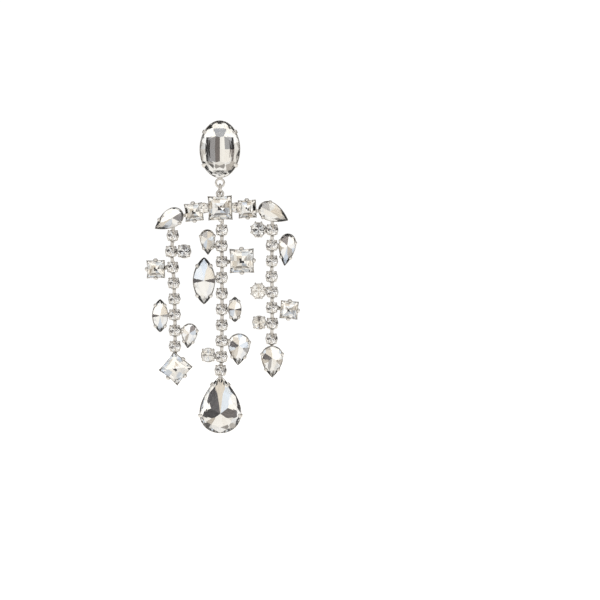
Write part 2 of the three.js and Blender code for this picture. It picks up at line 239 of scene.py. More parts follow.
def silverSolder(finish):
    material, tree = newMaterial("plated silver solder")
    place = addNode(tree, "ShaderNodeTexCoord").outputs["Object"]
    flow = addNode(
        tree, "ShaderNodeTexNoise", values={"Scale": 1 / (finish["flowSize"] * mm), "Detail": 3.0},
        links={"Vector": place},
    ).outputs["Fac"]
    tone = addNode(tree, "ShaderNodeValToRGB", links={0: flow})
    setStops(tone.color_ramp, finish["tones"])
    gloss = addNode(
        tree, "ShaderNodeMapRange", values={"To Min": finish["smooth"], "To Max": finish["rough"]},
        links={"Value": flow},
    )
    lumps = addNode(
        tree, "ShaderNodeBump",
        values={"Strength": finish["lumpStrength"], "Distance": finish["lumpDepth"] * mm},
        links={"Height": flow},
    )
    metal = addNode(
        tree, "ShaderNodeBsdfPrincipled", values={"Metallic": 1.0},
        links={"Base Color": tone.outputs[0], "Roughness": gloss.outputs[0], "Normal": lumps.outputs[0]},
    )
    addNode(tree, "ShaderNodeOutputMaterial", links={"Surface": metal.outputs[0]})
    return material


# Machine-cut lead crystal: clear, with sharp facets that bend the foil behind into many small mirrors.
crystalFinish = {
    "tints": [(0.0, "#f4f6f9"), (0.35, "#ffffff"), (0.8, "#fffefb"), (1.0, "#f8f5ee")],
    "ior": 1.54, "waveSize": 1.6, "waveDepth": 0.02, "waveStrength": 0.12,
}


def leadCrystal(finish):
    material, tree = newMaterial("machine-cut lead crystal")
    place = addNode(tree, "ShaderNodeTexCoord").outputs["Object"]
    tone = addNode(tree, "ShaderNodeAttribute", {"attribute_name": "facetTintAndPaintedReflection"}).outputs["Fac"]
    tint = addNode(tree, "ShaderNodeValToRGB", links={0: tone})
    setStops(tint.color_ramp, finish["tints"])
    press = addNode(
        tree, "ShaderNodeTexNoise", values={"Scale": 1 / (finish["waveSize"] * mm), "Detail": 2.0},
        links={"Vector": place},
    )
    wave = addNode(
        tree, "ShaderNodeBump",
        values={"Strength": finish["waveStrength"], "Distance": finish["waveDepth"] * mm},
        links={"Height": press.outputs["Fac"]},
    )
    glass = addNode(
        tree, "ShaderNodeBsdfPrincipled",
        values={"IOR": finish["ior"], "Transmission Weight": 1.0, "Roughness": 0.0},
        links={"Base Color": tint.outputs[0], "Normal": wave.outputs[0]},
    )
    addNode(tree, "ShaderNodeOutputMaterial", links={"Surface": glass.outputs[0]})
    return material


# Silver foil fired on the back of the stone: a mirror in small flat panes, each pane's colour a painted
# reflection, some bright and some slate grey.
foilFinishWithReflections = {
    "reflectionShades": [  # painted reflections, from the darkest pane to the brightest
        (0.0, "#1c1a1b"), (0.1, "#514f52"), (0.19, "#857d7a"), (0.27, "#a3a6ad"), (0.36, "#c3bbb1"),
        (0.5, "#dbd5cc"), (0.62, "#d2dcea"), (0.75, "#f4f2ef"), (1.0, "#ffffff"),
    ],
    "crinkleSize": 0.8, "crinkleDepth": 0.02, "crinkleStrength": 0.15,
}


def silverFoil(finish):
    material, tree = newMaterial("fired silver foil with painted reflections")
    place = addNode(tree, "ShaderNodeTexCoord").outputs["Object"]
    tone = addNode(tree, "ShaderNodeAttribute", {"attribute_name": "facetTintAndPaintedReflection"}).outputs["Fac"]
    # each pane's painted reflection, dark to bright, is the mirror's colour
    shade = addNode(tree, "ShaderNodeValToRGB", links={0: tone})
    setStops(shade.color_ramp, finish["reflectionShades"])
    crinkle = addNode(
        tree, "ShaderNodeTexNoise", values={"Scale": 1 / (finish["crinkleSize"] * mm), "Detail": 2.0},
        links={"Vector": place},
    )
    wave = addNode(
        tree, "ShaderNodeBump",
        values={"Strength": finish["crinkleStrength"], "Distance": finish["crinkleDepth"] * mm},
        links={"Height": crinkle.outputs["Fac"]},
    )
    mirror = addNode(
        tree, "ShaderNodeBsdfPrincipled", values={"Metallic": 1.0, "Roughness": 0.0},
        links={"Base Color": shade.outputs[0], "Normal": wave.outputs[0]},
    )
    addNode(tree, "ShaderNodeOutputMaterial", links={"Surface": mirror.outputs[0]})
    return material


rhodium = rhodiumPlate(plateFinish)
solder = silverSolder(solderFinish)
crystal = leadCrystal(crystalFinish)
foil = silverFoil(foilFinishWithReflections)
print("materials ready")

girdleHalf = 0.14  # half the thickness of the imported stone's edge
fineGirdle = 0.06  # half the thickness of the cut stone's edge
sheetBehind = 0.41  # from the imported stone's back to the back of its setting
navetteFull = 1.55  # 2 gives straight sides at the points, 1 gives an oval
pearPoint = 0.85
pearWidest = math.acos(pearPoint / (2 + pearPoint))


def pearSide(t):
    return math.sin(t) * abs(math.cos(t / 2)) ** pearPoint


def squareSide(t):
    return 1 / max(abs(math.sin(t)), abs(math.cos(t)))


# An outline gives u to the right and v up, both from -1 to 1, for an angle clockwise from the top.
outlines = {
    "round": lambda t: (math.sin(t), math.cos(t)),
    "navette": lambda t: (math.copysign(abs(math.sin(t)) ** navetteFull, math.sin(t)), math.cos(t)),
    "pear": lambda t: (pearSide(t) / pearSide(pearWidest), math.cos(t)),
    "square": lambda t: (math.sin(t) * squareSide(t), math.cos(t) * squareSide(t)),
}

# The proportions of each cut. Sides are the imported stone's and mains the cut one's main facets. Table, keel
# and back are shares of the outline, crown and pavilion of the width, and heart, which is how far above the
# middle the culet sits, of the half length. Claws are degrees from the top.
cuts = {
    "chaton": {
        "outline": "round", "sides": 8, "mains": 8, "table": 0.56, "keel": (0.1, 0.1), "crown": 0.22,
        "pavilion": 0.46, "back": 0.88, "heart": 0, "claws": (45, 135, 225, 315),
    },
    "square": {
        "outline": "square", "sides": 8, "mains": 4, "table": 0.58, "keel": (0.08, 0.08), "crown": 0.16,
        "pavilion": 0.32, "back": 0.76, "heart": 0, "claws": (0, 90, 180, 270),
    },
    "pear": {
        "outline": "pear", "sides": 12, "mains": 8, "table": 0.6, "keel": (0.08, 0.3), "crown": 0.16,
        "pavilion": 0.3, "back": 0.76, "heart": 0.25, "claws": (60, 120, 240, 300),
    },
    "navette": {
        "outline": "navette", "sides": 12, "mains": 8, "table": 0.6, "keel": (0.08, 0.4), "crown": 0.17,
        "pavilion": 0.34, "back": 0.76, "heart": 0, "claws": (49, 131, 229, 311),
    },
    "oval": {
        "outline": "round", "sides": 16, "mains": 12, "table": 0.62, "keel": (0.1, 0.45), "crown": 0.16,
        "pavilion": 0.26, "back": 0.76, "heart": 0, "claws": (52, 125, 235, 308),
    },
    "bigPear": {
        "outline": "pear", "sides": 16, "mains": 10, "table": 0.7, "keel": (0.08, 0.3), "crown": 0.15,
        "pavilion": 0.25, "back": 0.76, "heart": 0.33, "claws": (67, 135, 180, 225, 293),
    },
}

# Every stone that isn't in the chain: its node, cut, width, length, turn, tilt and the claws that hold it.
jewelRows = [
    ("oval", "oval", 12.6, 18, 0, 0, None),
    ("arch_pear_left", "pear", 5.7, 10, -58, 0, (60, 240)),
    ("arch_square_left", "square", 5.8, 5.8, 6, 0, (0, 180)),
    ("arch_chaton_left", "chaton", 3, 3, 0, 0, None),
    ("arch_square_centre", "square", 7.8, 7.8, 2, 0, (0, 180)),
    ("arch_chaton_right", "chaton", 3, 3, 0, 0, None),
    ("arch_square_right", "square", 5.8, 5.8, 3, 0, (0, 180)),
    ("arch_pear_right", "pear", 5.7, 10, 64, 0, (60, 300)),
    ("left_strand_round", "chaton", 3.9, 3.9, 0, 6, None),
    ("left_strand_square", "square", 5.8, 5.8, 1, 0, (0, 180, 270)),
    ("left_strand_navette", "navette", 4.8, 10.2, 0, 0, None),
    ("left_strand_pear", "pear", 4.8, 7.6, -7, 0, None),
    ("left_strand_square_drop", "square", 7.8, 7.8, 51, 0, (90, 180, 270)),
    ("centre_strand_pear_small", "pear", 4.5, 7.8, 2, 0, None),
    ("centre_strand_square", "square", 7.8, 7.8, 1, 0, (0, 90, 180)),
    ("centre_strand_navette_large", "navette", 6.8, 14.6, 0, 0, None),
    ("centre_strand_navette_small", "navette", 3.9, 7.8, 0, 0, None),
    ("centre_strand_pear", "pear", 6.7, 9.8, -3, 0, None),
    ("centre_strand_round", "chaton", 4.1, 4.1, 0, 6, None),
    ("centre_strand_pear_drop", "bigPear", 13, 18, 180, 0, None),
    ("right_strand_round_top", "chaton", 4.2, 4.2, 0, 6, None),
    ("right_strand_pear", "pear", 5.1, 10.1, -8, 0, None),
    ("right_strand_round_middle", "chaton", 4.3, 4.3, 0, 6, None),
    ("right_strand_square", "square", 5.8, 5.8, -5, 0, (0, 90, 180)),
    ("right_strand_round_low", "chaton", 3.9, 3.9, 0, 6, None),
    ("right_strand_pear_drop", "pear", 6.7, 9.8, 0, 0, None),
]
chainCup = {"width": 3.4, "tilt": 10}


def ringAt(jewel, count, shareU, shareV, grow, y):
    outline = outlines[jewel["cut"]["outline"]]
    halfU, halfV = jewel["width"] / 2, jewel["length"] / 2
    points = [outline(2 * math.pi * k / count) for k in range(count)]
    return [Vector((u * (halfU * shareU + grow), y, v * (halfV * shareV + grow))) for u, v in points]


def newJewel(node, cutName, width, length, turn, tilt, claws):
    cut = cuts[cutName]
    jewel = {"node": node, "cutName": cutName, "cut": cut, "width": width, "length": length}
    jewel["crown"] = cut["crown"] * width
    jewel["pavilion"] = cut["pavilion"] * width
    jewel["depth"] = girdleHalf + jewel["pavilion"] + sheetBehind  # the setting's back, behind the girdle
    jewel["claws"] = cut["claws"] if claws is None else claws
    tip = Matrix.Rotation(math.radians(-tilt), 4, "X")
    turned = tip @ Matrix.Rotation(math.radians(-turn), 4, "Y")
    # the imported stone's own rings, turned about its middle: their low corner places the jewel
    rings = [
        (cut["table"], cut["table"], -girdleHalf - jewel["crown"]), (1, 1, -girdleHalf), (1, 1, girdleHalf),
        (*cut["keel"], girdleHalf + jewel["pavilion"]),
    ]
    blank = [
        turned @ point for shareU, shareV, y in rings
        for point in ringAt(jewel, cut["sides"], shareU, shareV, 0, y)
    ]
    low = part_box(node + "_stone")[0] / mm
    jewel["at"] = Vector([low[axis] - min(p[axis] for p in blank) for axis in range(3)])
    jewel["seat"] = Matrix.Translation(jewel["at"]) @ turned
    return jewel


def chainOf(strand, plan):
    # the strand's cups from the top, as many as the frame has
    cups = []
    while f"{strand}_strand_chaton_{len(cups) + 1}_stone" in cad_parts:
        node = f"{strand}_strand_chaton_{len(cups) + 1}"
        cups.append(newJewel(node, "chaton", plan["width"], plan["width"], 0, plan["tilt"], None))
    return cups


def jewelsOn(piece):
    return [jewel for node, jewel in jewels.items() if node.startswith(piece)]


def fancyOn(piece):
    return [jewel for jewel in jewelsOn(piece) if jewel["cutName"] != "chaton"]


jewels = {row[0]: newJewel(*row) for row in jewelRows}
strandNames = ("left", "centre", "right")
chains = {strand: chainOf(strand, chainCup) for strand in strandNames}
allCups = [cup for strand in strandNames for cup in chains[strand]]
print("jewels placed:", len(jewels), "and", len(allCups), "in the chains")


def outlineNormal(jewel, t):
    outline = outlines[jewel["cut"]["outline"]]
    (u0, v0), (u1, v1) = outline(t - 0.01), outline(t + 0.01)
    u, v = outline(t)
    along = Vector(((u1 - u0) * jewel["width"], 0, (v1 - v0) * jewel["length"]))
    outward = -1 if along.x * v < along.z * u else 1
    return Vector((-along.z, 0, along.x)).normalized() * outward


sawSlack = 2e-4  # a corner this near a facet's plane lies on it


def cutFacet(shape, direction, near, far):
    # near and far are (distance from the heart line, depth): the facet runs through both, across direction
    slope = (far[0] - near[0]) / (far[1] - near[1])
    normal = Vector((direction.x, -slope, direction.z))
    point = direction * near[0] + Vector((0, near[1], 0))
    parts = shape.verts[:] + shape.edges[:] + shape.faces[:]
    sawn = bmesh.ops.bisect_plane(
        shape, geom=parts, dist=sawSlack, plane_co=point, plane_no=normal, clear_outer=True
    )
    rim = [part for part in sawn["geom_cut"] if isinstance(part, bmesh.types.BMEdge) and part.is_boundary]
    if len(rim) > 2:
        bmesh.ops.contextual_create(shape, geom=rim)


def crownFacets(jewel, reach, direction):
    # kites from the girdle up to the table, with breaks between; reach is how far the outline goes a way
    mains, table = jewel["cut"]["mains"], jewel["cut"]["table"]
    top = -girdleHalf - jewel["crown"]
    rows = (  # the share of a step round the stone, and the shares of the reach at the girdle and at the top
        (0, 1.02, table), (0.5, 1.3, table * 0.93), (0.25, 1.0, table + 0.07), (0.75, 1.0, table + 0.07),
    )
    facets = []
    for k in range(mains):
        for turn, near, far in rows:
            way = direction(2 * math.pi * (k + turn) / mains)
            facets.append((way, (reach(way) * near, -fineGirdle), (reach(way) * far, top)))
    return facets


def culetFacets(jewel, reach, direction):
    # the pavilion of a round brilliant: kites and breaks that all run down to the culet
    mains, bottom = jewel["cut"]["mains"], girdleHalf + jewel["pavilion"]
    rows = ((0, 1.02, 0.02), (0.25, 1.0, 0.07), (0.75, 1.0, 0.07))
    facets = []
    for k in range(mains):
        for turn, near, far in rows:
            way = direction(2 * math.pi * (k + turn) / mains)
            facets.append((way, (reach(way) * near, fineGirdle), (reach(way) * far, bottom)))
    return facets


# The flat back of a fancy stone: shares of the reach, and depths as shares of the width or of the reach.
backPlan = {"shoulder": 0.045, "edgeReach": 0.985, "ringReach": 0.75, "ringRise": 0.042, "kiteRise": 0.078}
ovalPlan = {
    "shoulder": 0.85, "ringRise": 0.055,
    # steps are (distance from the keel or the middle, depth), from the rim inwards
    "sideSteps": [(5.0, 0.84), (3.95, 1.03), (3.2, 1.14), (1.6, 1.27), (0.0, 1.34)], "sideSwing": 3,
    "endSteps": [(6.2, 0.93), (4.3, 1.254)], "endRims": {0: (8.8, 0.27), 180: (8.8, 0.3)},
    "cornerSteps": [(5.4, 1.0), (4.3, 1.21)],
    "cornerRims": {-43: (7.4, 0.57), 43: (7.4, 0.57), 137: (7.4, 0.62), 223: (7.4, 0.52)},
}


def shoulderDepth(jewel):
    if jewel["cutName"] == "oval":
        return ovalPlan["shoulder"]
    return fineGirdle + backPlan["shoulder"] * jewel["width"]


def shoulderFacets(jewel, reach, direction):
    # the back of a fancy stone: a narrow steep edge at the girdle, then flat facets in to the kites
    mains = jewel["cut"]["mains"]
    shoulder = shoulderDepth(jewel)
    ringRise = ovalPlan["ringRise"] if jewel["cutName"] == "oval" else backPlan["ringRise"]
    edgeShare, ringShare = backPlan["edgeReach"], backPlan["ringReach"]
    facets = []
    for k in range(2 * mains):
        edge, inner = (direction(math.pi * (k + turn) / mains) for turn in (0.5, 0.1))
        facets.append((edge, (reach(edge), fineGirdle), (reach(edge) * edgeShare, shoulder)))
        outer = (reach(inner) * edgeShare, shoulder)
        facets.append((inner, outer, (reach(inner) * ringShare, shoulder + ringRise * reach(inner))))
    return facets


# Flat kites fall away from the culet of a fancy stone: how steeply to the right and up, and each one's tone, a
# painted reflection.
kitePlans = {
    "pear": [
        (0.007, -0.088), (-0.082, -0.077), (-0.151, 0.011), (-0.087, 0.104), (0.087, 0.104), (0.151, 0.011),
        (0.103, -0.074),
    ],
    "navette": [
        (0, 0.068), (0.15, 0.041), (0.161, 0), (0.15, -0.041), (0, -0.068), (-0.15, -0.041), (-0.161, 0),
        (-0.15, 0.041),
    ],
}
# painted reflections of each stone's kites, one tone for each, in the order of the slopes above
kiteReflectionTones = {
    "centre_strand_pear_drop": (0.42, 0.62, 0.13, 0.97, 0.97, 0.03, 0.09),
    "centre_strand_pear": (0.95, 0.5, 0.12, 0.42, 0.95, 0.6, 0.9),
    "right_strand_pear_drop": (0.9, 0.3, 0.12, 0.45, 0.9, 0.95, 0.75),
    "right_strand_pear": (0.62, 0.95, 0.85, 0.2, 0.8, 0.95, 0.36),
    "arch_pear_left": (0.5, 0.95, 0.8, 0.95, 0.22, 0.97, 0.6),
    "arch_pear_right": (0.5, 0.97, 0.95, 0.9, 0.3, 0.55, 0.4),
    "centre_strand_pear_small": (0.5, 0.62, 0.75, 0.3, 0.42, 0.6, 0.45),
    "left_strand_pear": (0.9, 0.35, 0.5, 0.9, 0.2, 0.6, 0.95),
    "centre_strand_navette_large": (0.62, 0.5, 0.14, 0.9, 0.97, 0.95, 0.11, 0.66),
    "left_strand_navette": (0.95, 0.45, 0.3, 0.95, 0.62, 0.97, 0.12, 0.8),
    "centre_strand_navette_small": (0.5, 0.9, 0.1, 0.4, 0.95, 0.6, 0.16, 0.5),
}


def kiteFacets(jewel, reach, direction):
    bottom = shoulderDepth(jewel) + backPlan["kiteRise"] * jewel["width"]
    run = 4.0  # each plane's second point; any run gives the same plane
    facets = []
    for right, rise in kitePlans[jewel["cut"]["outline"]]:
        steepness = math.hypot(right, rise)
        way = Vector((right, 0, rise)) / steepness
        facets.append((way, (run, bottom - run * steepness), (0.0, bottom)))
    return facets


def ovalSteps(jewel, reach, direction):
    # a stepped back: four steps a side, parallel to an upright keel, and two at each end and corner
    plan = ovalPlan
    facets = []

    def add(degrees, steps):
        way = Vector((math.sin(math.radians(degrees)), 0, math.cos(math.radians(degrees))))
        for near, far in zip(steps, steps[1:]):
            facets.append((way, near, far))

    for side in (90, 270):
        for swing in (-plan["sideSwing"], plan["sideSwing"]):
            add(side + swing, plan["sideSteps"])
    for degrees, rim in plan["endRims"].items():
        add(degrees, [rim, *plan["endSteps"]])
    for degrees, rim in plan["cornerRims"].items():
        add(degrees, [rim, *plan["cornerSteps"]])
    return facets


facetPlans = {
    "chaton": (crownFacets, culetFacets),
    "navette": (crownFacets, shoulderFacets, kiteFacets),
    "pear": (crownFacets, shoulderFacets, kiteFacets),
    "bigPear": (crownFacets, shoulderFacets, kiteFacets),
    "oval": (crownFacets, shoulderFacets, ovalSteps),
}


sameSlope = 0.015  # a facet whose slope is this near a kite's is that kite


def kiteReflectionTone(jewel, face, chance):
    # the kites have painted reflection tones of their own; the facets round them keep a painted reflection left
    # to chance
    slope = Vector((face.normal.x, face.normal.z)) / face.normal.y
    for kite, tone in zip(kitePlans[jewel["cut"]["outline"]], kiteReflectionTones[jewel["node"]]):
        if (Vector(kite) - slope).length < sameSlope:
            return tone
    return 0.2 + 0.8 * chance


ovalReflectionTones = {
    # painted reflections on the steps from left to right: where one ends, and its tone in the upper and in the
    # lower half
    "steps": [
        (-3.95, 0.7, 0.95), (-3.2, 0.0, 0.0), (-1.6, 0.24, 0.25), (0.0, 0.14, 0.15), (1.6, 1.0, 0.92),
        (3.2, 0.28, 0.85), (3.95, 0.0, 0.18), (7, 0.95, 0.8),
    ],
    # the end and corner facets slope up or down by more than this share of their sideways slope
    "endSlope": 0.2,
    # past the rim a painted reflection is left to chance, and pale above and below the height
    "rim": 6.2, "rimHeight": 3.0,
    # the end facet on top, this wide to a side, has a slate painted reflection, the other ends a pale one
    "topEnd": 0.27, "topHalf": 1.0, "otherEnds": 0.93,
}


def ovalReflectionTone(jewel, face, chance):
    # a painted reflection for each facet on the oval's back
    plan = ovalReflectionTones
    centre, normal = face.calc_center_median(), face.normal
    if abs(normal.z) > plan["endSlope"] * abs(normal.x):
        if centre.length > plan["rim"]:
            return chance if abs(centre.z) < plan["rimHeight"] else 0.7 + 0.3 * chance
        return plan["topEnd"] if centre.z > 0 and abs(centre.x) < plan["topHalf"] else plan["otherEnds"]
    upper, lower = next((above, below) for x, above, below in plan["steps"] if centre.x < x)
    return upper if centre.z > 0 else lower


culetShare = 0.18  # the middle of a square, as a share of its half width


def squareReflectionTone(jewel, face, chance):
    # painted reflections, pale and even, but for black and white by turns round the culet
    centre = face.calc_center_median()
    if max(abs(centre.x), abs(centre.z)) / (jewel["width"] / 2) < culetShare:
        return 0.02 if chance > 0.85 else 1.0 if chance < 0.6 else 0.4
    return 0.35 + 0.5 * chance


# each cut's own way of placing painted reflections on its foil
reflectionTonePlans = {
    "oval": ovalReflectionTone, "pear": kiteReflectionTone, "bigPear": kiteReflectionTone, "navette": kiteReflectionTone, "square": squareReflectionTone,
}
outlineSteps = {"round": 64, "navette": 64, "pear": 64}
weldSlack = 2e-3  # corners this near are one


def cutStone(jewel, seed):
    # a prism of the outline, cut back by one plane for each facet; the mesh is in millimetres at the origin
    cut = jewel["cut"]
    heart = Vector((0, 0, cut["heart"] * jewel["length"] / 2))
    count = outlineSteps[cut["outline"]]
    top, bottom = -girdleHalf - jewel["crown"], girdleHalf + jewel["pavilion"]
    edge = [p - heart for p in ringAt(jewel, count, 1, 1, 0, 0)]

    def reach(way):
        return max(p.dot(way) for p in edge)

    def direction(t):
        if jewel["width"] == jewel["length"]:
            return Vector((math.sin(t), 0, math.cos(t)))
        return outlineNormal(jewel, t)

    shape = bmesh.new()
    low = [shape.verts.new(p + Vector((0, top, 0))) for p in edge]
    high = [shape.verts.new(p + Vector((0, bottom, 0))) for p in edge]
    shape.faces.new(low)
    shape.faces.new(high[::-1])
    for k in range(count):
        shape.faces.new((low[k], high[k], high[(k + 1) % count], low[(k + 1) % count]))
    for plan in facetPlans[jewel["cutName"]]:
        for facet in plan(jewel, reach, direction):
            cutFacet(shape, *facet)
    bmesh.ops.remove_doubles(shape, verts=shape.verts, dist=weldSlack)
    bmesh.ops.dissolve_degenerate(shape, edges=shape.edges, dist=weldSlack)
    bmesh.ops.translate(shape, verts=shape.verts, vec=heart)
    return toneFacetsAndPaintReflections(shape, jewel, seed)


facesBack = 0.1  # a facet whose normal goes back this much


def toneFacetsAndPaintReflections(shape, jewel, seed):
    # every facet gets a chance tone, mostly a pale one, and those that face back are foiled; on the foil the
    # tone is a painted reflection, left to chance or set by the cut's plan
    bmesh.ops.recalc_face_normals(shape, faces=shape.faces)
    dice = Random(seed)
    tintAndReflectionLayer = shape.faces.layers.float.new("facetTintAndPaintedReflection")
    shape.faces.ensure_lookup_table()
    for face in sorted(shape.faces, key=lambda f: tuple(round(c, 3) for c in f.calc_center_median())):
        # the chance tone tints the crystal faintly and, on a foiled facet, paints its reflection dark or pale
        face[tintAndReflectionLayer] = 1 - 0.95 * dice.random() ** 2.4
        if face.normal.y > facesBack:
            face.material_index = 1
            if jewel["cutName"] in reflectionTonePlans:
                face[tintAndReflectionLayer] = reflectionTonePlans[jewel["cutName"]](jewel, face, face[tintAndReflectionLayer])
    return shape


squarePlan = {
    "table": 0.62, "drawnIn": 0.91,
    # rings of the back: share of the outline, slant up to it in degrees, and how far its sides are drawn in
    "back": [(1, 0, 0.91), (0.9, 42, 0.93), (0.66, 15, 0.96), (0.42, 12.5, 0.94), (0.2, 10, 0.9)],
    "culetSlant": 14,
}


def cutSquare(jewel, seed):
    # a princess cut with its sides drawn in a little between sharp corners, and an X of ridges behind
    plan = squarePlan
    half = jewel["width"] / 2

    def ring(share, y, middle=1.0):
        points = []
        for k in range(8):
            t = math.radians(45 * k)
            inset = middle if k % 2 == 0 else 1
            points.append(Vector((math.sin(t), 0, math.cos(t))) * squareSide(t) * half * share * inset)
            points[-1].y = y
        return points

    rings = [ring(plan["table"], -girdleHalf - jewel["crown"]), ring(1, -fineGirdle, plan["drawnIn"])]
    depth, before = fineGirdle, 1
    for share, slant, middle in plan["back"]:
        depth += (before - share) * half * math.tan(math.radians(slant))
        before = share
        rings.append(ring(share, depth, middle))
    culetDepth = depth + before * half * math.tan(math.radians(plan["culetSlant"]))
    shape = bmesh.new()
    rows = [[shape.verts.new(p) for p in one] for one in rings]
    culet = shape.verts.new((0, culetDepth, 0))
    crownCorners = [rows[0][k] for k in (1, 3, 5, 7)]
    for k in (0, 2, 4, 6):
        shape.verts.remove(rows[0][k])
    shape.faces.new(crownCorners)
    for k in range(4):  # a side of the crown: one triangle down to the middle of the girdle, one up at each end
        left, right = crownCorners[k - 1], crownCorners[k]
        girdle = [rows[1][(2 * k + j) % 8] for j in (-1, 0, 1)]
        shape.faces.new((left, right, girdle[1]))
        shape.faces.new((left, girdle[1], girdle[0]))
        shape.faces.new((right, girdle[2], girdle[1]))
    for a, b in zip(rows[1:], rows[2:]):
        for k in range(8):
            shape.faces.new((a[k], a[(k + 1) % 8], b[(k + 1) % 8], b[k]))
    for k in range(8):
        shape.faces.new((rows[-1][k], rows[-1][(k + 1) % 8], culet))
    return toneFacetsAndPaintReflections(shape, jewel, seed)


def joinShapes(name, shapes, materials, smoothAngle=None):
    # shapes: (bmesh in millimetres, matrix); one mesh in metres, with its place in its vertices
    whole = bmesh.new()
    for shape, matrix in shapes:
        part = bpy.data.meshes.new("part")
        shape.transform(matrix)
        shape.to_mesh(part)
        shape.free()
        whole.from_mesh(part)
        bpy.data.meshes.remove(part)
    whole.transform(Matrix.Scale(mm, 4))
    mesh = bpy.data.meshes.new(name)
    whole.to_mesh(mesh)
    whole.free()
    for material in materials:
        mesh.materials.append(material)
    if smoothAngle:
        mesh.shade_smooth()
        mesh.set_sharp_from_angle(angle=math.radians(smoothAngle))
    return mesh


def finishPiece(piece, body, nodes=()):
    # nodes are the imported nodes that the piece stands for
    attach(piece, body)
    if nodes:
        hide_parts(*nodes)


def stoneGroup(name, body, members):
    shapes = []
    for seed, jewel in enumerate(members, start=31):
        make = cutSquare if jewel["cutName"] == "square" else cutStone
        shapes.append((make(jewel, seed), jewel["seat"]))
    piece = newObject(name, joinShapes(name, shapes, [crystal, foil]))
    finishPiece(piece, body, [jewel["node"] + "_stone" for jewel in members])


stoneGroup("oval_crystal", "stud", [jewels["oval"]])
stoneGroup("arch_crystals", "drop", jewelsOn("arch"))
for strand in strandNames:
    stoneGroup(strand + "_strand_crystals", "drop", jewelsOn(strand))
print("stones cut")


def loftRings(rings, closeEnds=True):
    shape = bmesh.new()
    rows = [[shape.verts.new(p) for p in ring] for ring in rings]
    count = len(rings[0])
    for a, b in zip(rows, rows[1:]):
        for k in range(count):
            shape.faces.new((a[k], b[k], b[(k + 1) % count], a[(k + 1) % count]))
    if closeEnds:
        shape.faces.new(rows[0])
        shape.faces.new(rows[-1][::-1])
    bmesh.ops.recalc_face_normals(shape, faces=shape.faces)
    return shape


shellPlan = {"back": 0.88, "count": 48, "squareInset": -0.45, "floorGap": 0.05}


def settingShell(jewel, plan=shellPlan):
    # a dished cup of thin sheet: from the floor inside, up to the lip at the girdle, and back down outside
    back, depth = plan["back"], jewel["depth"]
    square = jewel["cutName"] == "square"
    inset = plan["squareInset"] if square else 0.0
    floor = girdleHalf + jewel["pavilion"] + plan["floorGap"]
    profile = [  # share of the outline, growth and depth
        (0.1, 0.0, floor),
        (0.82, -0.1 if square else 0.0, floor),
        (1, inset - 0.02, 0.24),
        (1, inset + 0.04, 0.06),
        (1, inset + 0.1, 0.0),
        (1, inset + 0.2, 0.04),
        (1, inset + 0.24, 0.2),
        (0.3 + 0.7 * back, 0.26 + inset, depth * 0.6),
        (back + 0.02, 0.24, depth - 0.3),
        (back, 0.16, depth - 0.08),
        (back - 0.03, 0.05, depth),
    ]
    return loftRings([ringAt(jewel, plan["count"], share, share, grow, y) for share, grow, y in profile])


def tubeAlong(rows, sides=8):
    # rows: a point of the path in x and y, then half the width across and half the thickness there
    path = [Vector((x, y, 0)) for x, y, _, _ in rows]
    rings = []
    for k, (_, _, half, thick) in enumerate(rows):
        along = (path[min(k + 1, len(path) - 1)] - path[max(k - 1, 0)]).normalized()
        normal = Vector((-along.y, along.x, 0))
        angles = [2 * math.pi * (j + 0.5) / sides for j in range(sides)]
        rings.append([path[k] + normal * math.sin(t) * thick + up * math.cos(t) * half for t in angles])
    return loftRings(rings)


# Claws, from the foot on the wall to the tip on the stone: out, back, half width and half thickness.
clawRows = [
    (-0.1, 1.7, 0.4, 0.12), (0.14, 1.2, 0.42, 0.16), (0.28, 0.5, 0.44, 0.18), (0.3, 0.05, 0.44, 0.18),
    (0.24, -0.22, 0.43, 0.18), (0.04, -0.42, 0.42, 0.17), (-0.26, -0.6, 0.36, 0.15),
    (-0.5, -0.76, 0.24, 0.11), (-0.6, -0.78, 0.08, 0.03),
]
beadRows = [
    (-0.12, 1.4, 0.3, 0.26), (-0.05, 1.0, 0.32, 0.28), (-0.03, 0.5, 0.3, 0.28), (-0.01, 0.24, 0.36, 0.34),
    (-0.01, 0.06, 0.43, 0.42), (-0.01, -0.16, 0.46, 0.46), (-0.01, -0.38, 0.41, 0.4),
    (-0.01, -0.54, 0.25, 0.25), (-0.01, -0.61, 0.06, 0.06),
]
cupClawRows = [
    (0.12, 1.5, 0.3, 0.1), (0.34, 1.1, 0.32, 0.14), (0.42, 0.5, 0.34, 0.15), (0.42, 0.05, 0.34, 0.15),
    (0.34, -0.2, 0.33, 0.15), (0.1, -0.4, 0.3, 0.14), (-0.2, -0.54, 0.22, 0.11), (-0.34, -0.58, 0.08, 0.04),
]


def meshTemplate(name, shapes, materials, smoothAngle=None):
    # the one piece that Geometry Nodes copies; it is removed when the copies are made
    return newObject(name, joinShapes(name, shapes, materials, smoothAngle))


